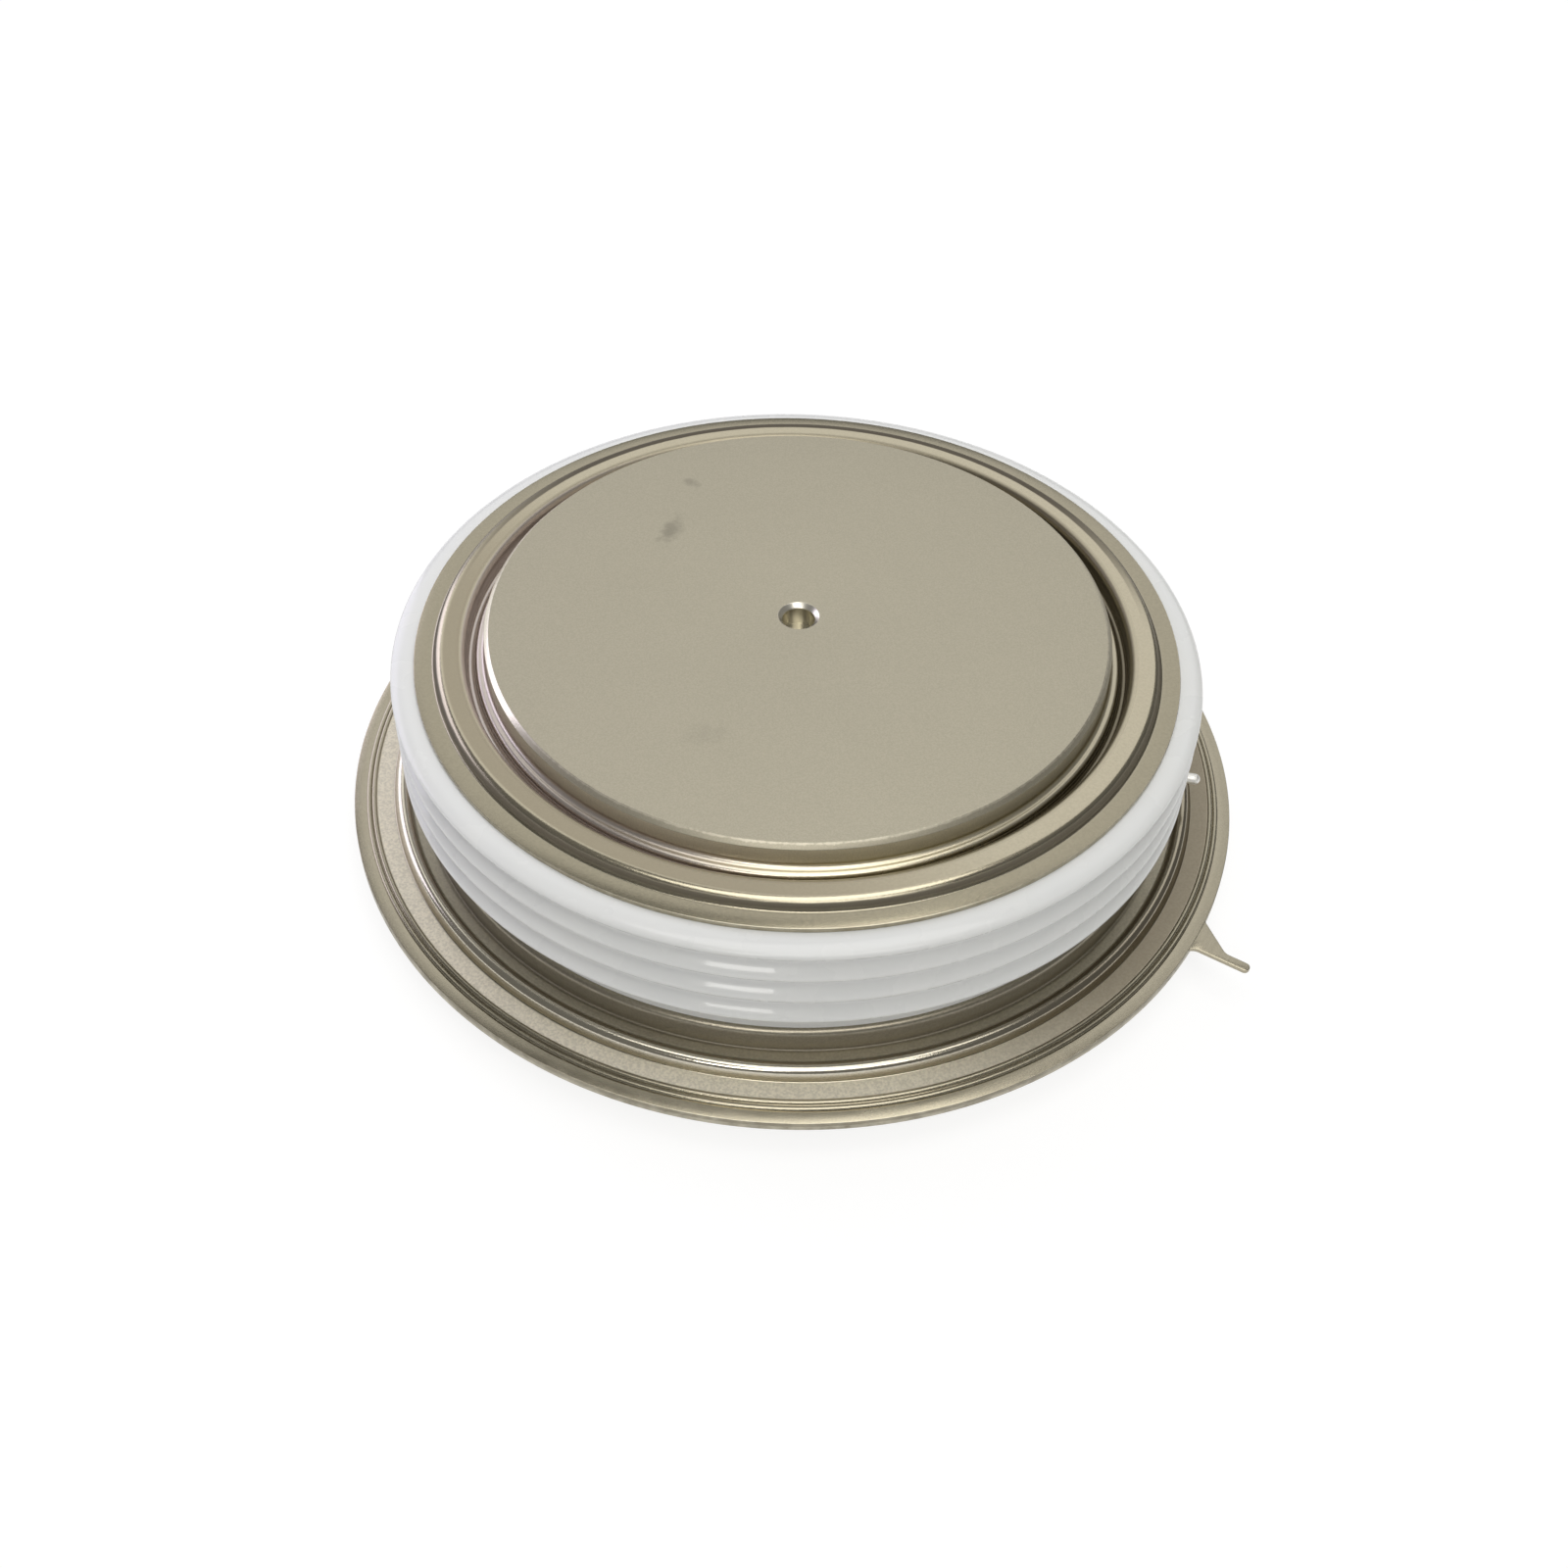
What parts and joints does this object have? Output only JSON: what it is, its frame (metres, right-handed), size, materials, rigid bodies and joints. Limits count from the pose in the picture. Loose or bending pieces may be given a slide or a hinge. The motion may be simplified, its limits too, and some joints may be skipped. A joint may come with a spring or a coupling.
{
  "type": "disc thyristor",
  "caption": "Press-pack disc thyristor: ribbed white ceramic ring between nickel-plated copper poles, with a welded flange, a cathode tab and a gate tube.",
  "frame": {"origin": "centre of the lower (cathode) contact face", "axes": "+Z along the axis from the cathode to the anode contact face; the cathode tab points out at 30.8 degrees from +X towards -Y, and the gate tube at 8 degrees"},
  "size_m": [0.0988, 0.0988, 0.0265],
  "materials": {
    "pole_nickel": "matte nickel plate on copper",
    "sheet_nickel": "satin nickel plate on pressed sheet",
    "glaze": "gloss white glaze on alumina",
    "molybdenum": "lapped",
    "silicon": "polished",
    "silicone": "matte",
    "silver": "satin",
    "white_plastic": "matte fluoroplastic"
  },
  "bodies": {
    "root": {"anode_pole": "pole_nickel", "anode_flange": "sheet_nickel", "ceramic_ring": "glaze", "housing_flange": "sheet_nickel", "cathode_flange": "sheet_nickel", "cathode_pole": "pole_nickel", "anode_disc": "molybdenum", "silicon_wafer": "silicon", "wafer_edge_seal": "silicone", "cathode_disc": "molybdenum", "cathode_foil": "silver", "locating_ring": "white_plastic", "gate_tube": "sheet_nickel", "gate_lead": "silver", "gate_sleeve": "white_plastic", "gate_pin": "molybdenum", "gate_bush": "white_plastic", "gate_spring": "silver", "gate_cup": "white_plastic"}
  },
  "joints": []
}
